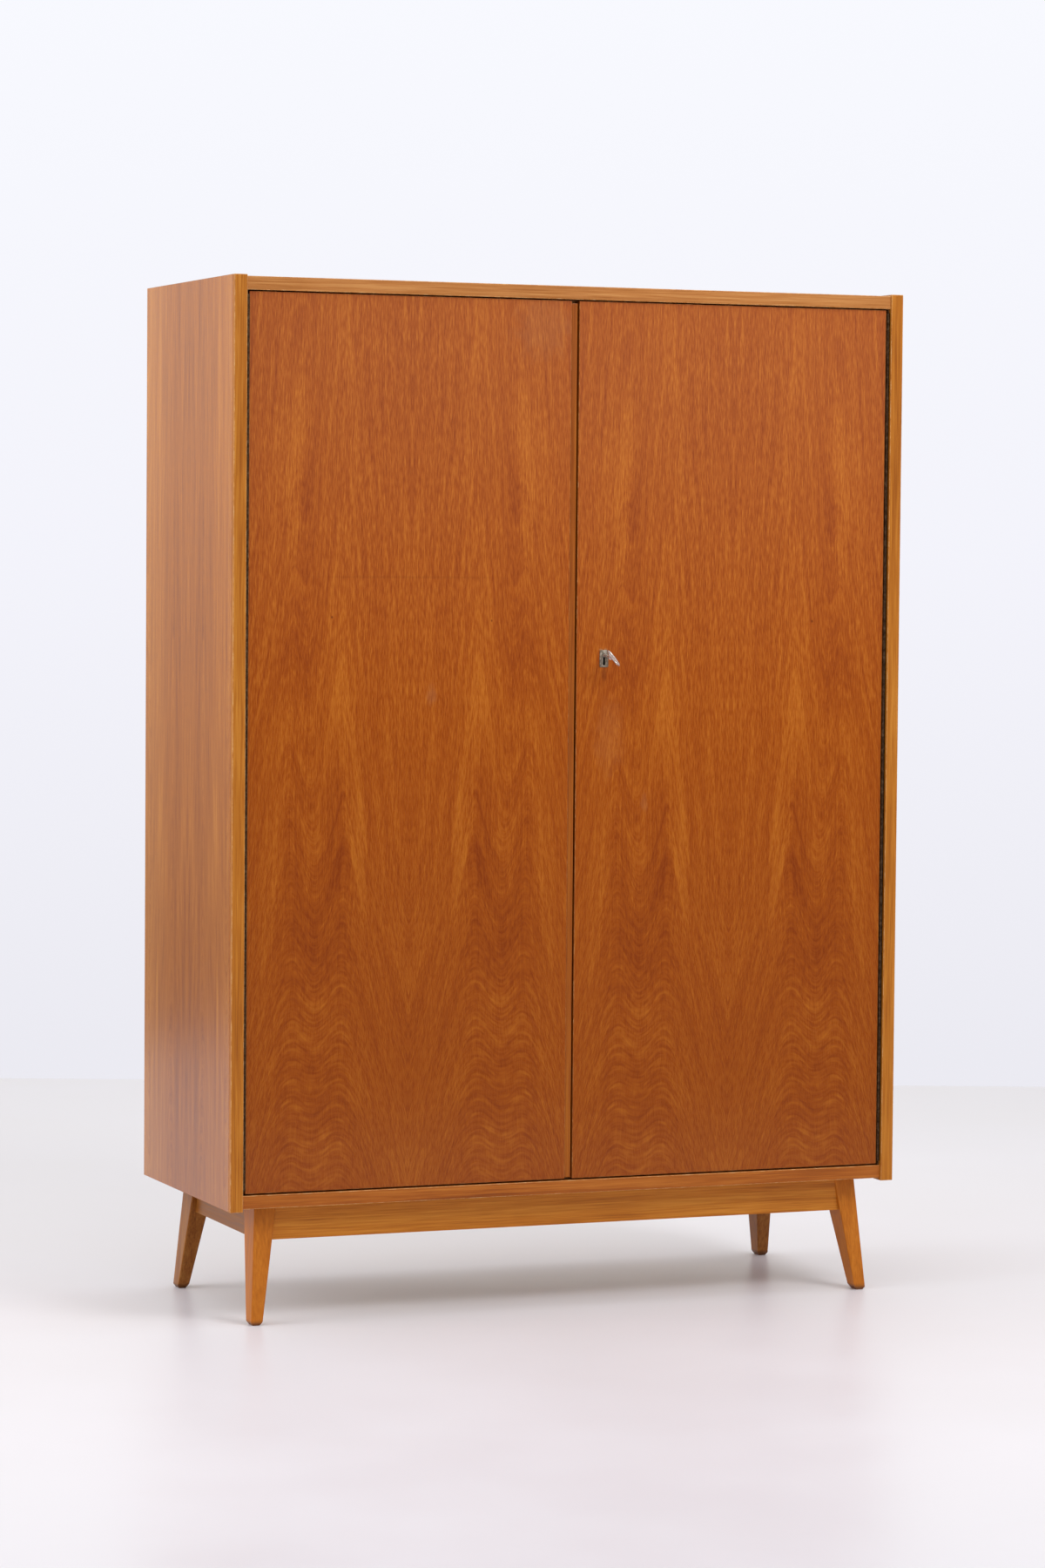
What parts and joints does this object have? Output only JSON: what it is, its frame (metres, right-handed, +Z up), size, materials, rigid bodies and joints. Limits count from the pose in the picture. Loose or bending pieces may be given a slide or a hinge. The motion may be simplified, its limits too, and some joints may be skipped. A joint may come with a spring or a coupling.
{
  "type": "two-door wardrobe",
  "caption": "Free-standing wardrobe with inset veneered doors on continuous hinges, key lock, inner shelves and clothes rail, on a low base with splayed tapered legs.",
  "frame": {"origin": "on the floor, under the middle of the box that holds the whole thing, its key included", "axes": "+X to the right along the front, +Y from the front to the back, +Z up"},
  "size_m": [1.2, 0.5177, 1.71],
  "materials": {
    "door_veneer": "satin varnish",
    "side_veneer": "satin varnish",
    "solid_oak": "satin varnish",
    "inside_veneer": "matt varnish",
    "back_board": "raw",
    "plain_wood": "raw",
    "hinge_steel": "tarnished",
    "fitting_steel": "satin",
    "screw_steel": "satin",
    "plate_brass": "tarnished",
    "felt": "matt"
  },
  "bodies": {
    "carcass": {"side_panel_left": "side_veneer", "side_panel_right": "side_veneer", "side_lipping_left": "solid_oak", "side_lipping_right": "solid_oak", "top_board": "side_veneer", "top_lipping": "solid_oak", "bottom_board": "inside_veneer", "bottom_lipping": "solid_oak", "back_panel": "back_board", "back_panel_screws": "screw_steel", "case_dowels": "plain_wood", "partition": "inside_veneer", "door_stop_pads": "felt", "hat_shelf": "inside_veneer", "linen_shelf_1": "inside_veneer", "linen_shelf_2": "inside_veneer", "linen_shelf_3": "inside_veneer", "linen_shelf_4": "inside_veneer", "shelf_pins": "fitting_steel", "clothes_rail": "fitting_steel", "rail_socket_left": "fitting_steel", "rail_socket_right": "fitting_steel", "fitting_screws": "screw_steel", "strike_plate": "fitting_steel", "bolt_keepers": "fitting_steel", "base_rail_front": "solid_oak", "base_rail_back": "solid_oak", "base_rail_left": "solid_oak", "base_rail_right": "solid_oak", "leg_front_left": "solid_oak", "leg_front_right": "solid_oak", "leg_back_left": "solid_oak", "leg_back_right": "solid_oak", "base_dowels": "plain_wood", "base_blocks": "plain_wood", "base_screws": "screw_steel", "hinge_frame_leaf_left": "hinge_steel", "hinge_frame_leaf_right": "hinge_steel", "hinge_pin_left": "hinge_steel", "hinge_pin_right": "hinge_steel", "hinge_frame_screws": "screw_steel"},
    "door_left": {"door_left_panel": "door_veneer", "meeting_strip": "solid_oak", "hinge_door_leaf_left": "hinge_steel", "hinge_door_screws_left": "screw_steel", "bolt_plate_top": "fitting_steel", "bolt_plate_bottom": "fitting_steel", "bolt_plate_screws": "screw_steel"},
    "door_right": {"door_right_panel": "door_veneer", "hinge_door_leaf_right": "hinge_steel", "hinge_door_screws_right": "screw_steel", "key_plate": "plate_brass", "key_plate_pins": "plate_brass", "lock_case": "fitting_steel", "lock_screws": "screw_steel"},
    "slide_bolt_top": {"slide_bolt_top": "fitting_steel"},
    "slide_bolt_bottom": {"slide_bolt_bottom": "fitting_steel"},
    "lock_bolt": {"lock_bolt": "fitting_steel"},
    "key": {"key": "fitting_steel"}
  },
  "joints": [
    {"name": "left_door_swing", "type": "hinge", "parent": "carcass", "child": "door_left", "pos_m": [-0.575, -0.20915, 0.95], "axis": [0, 0, -1], "range_deg": [0, 110]},
    {"name": "right_door_swing", "type": "hinge", "parent": "carcass", "child": "door_right", "pos_m": [0.575, -0.20915, 0.95], "axis": [0, 0, 1], "range_deg": [0, 110]},
    {"name": "key_turn", "type": "hinge", "parent": "door_right", "child": "key", "pos_m": [0.0539, -0.20815, 1.095], "axis": [0, -1, 0], "range_deg": [-40, 320]},
    {"name": "lock_bolt_slide", "type": "slide", "parent": "door_right", "child": "lock_bolt", "axis": [-1, 0, 0], "range_m": [-0.001, 0.008]},
    {"name": "top_bolt_slide", "type": "slide", "parent": "door_left", "child": "slide_bolt_top", "axis": [0, 0, 1], "range_m": [0, 0.012]},
    {"name": "bottom_bolt_slide", "type": "slide", "parent": "door_left", "child": "slide_bolt_bottom", "axis": [0, 0, -1], "range_m": [0, 0.012]}
  ],
  "couplings": [
    {"joint": "key_turn", "follows": "lock_bolt_slide", "rad_per_m": 698.13}
  ]
}
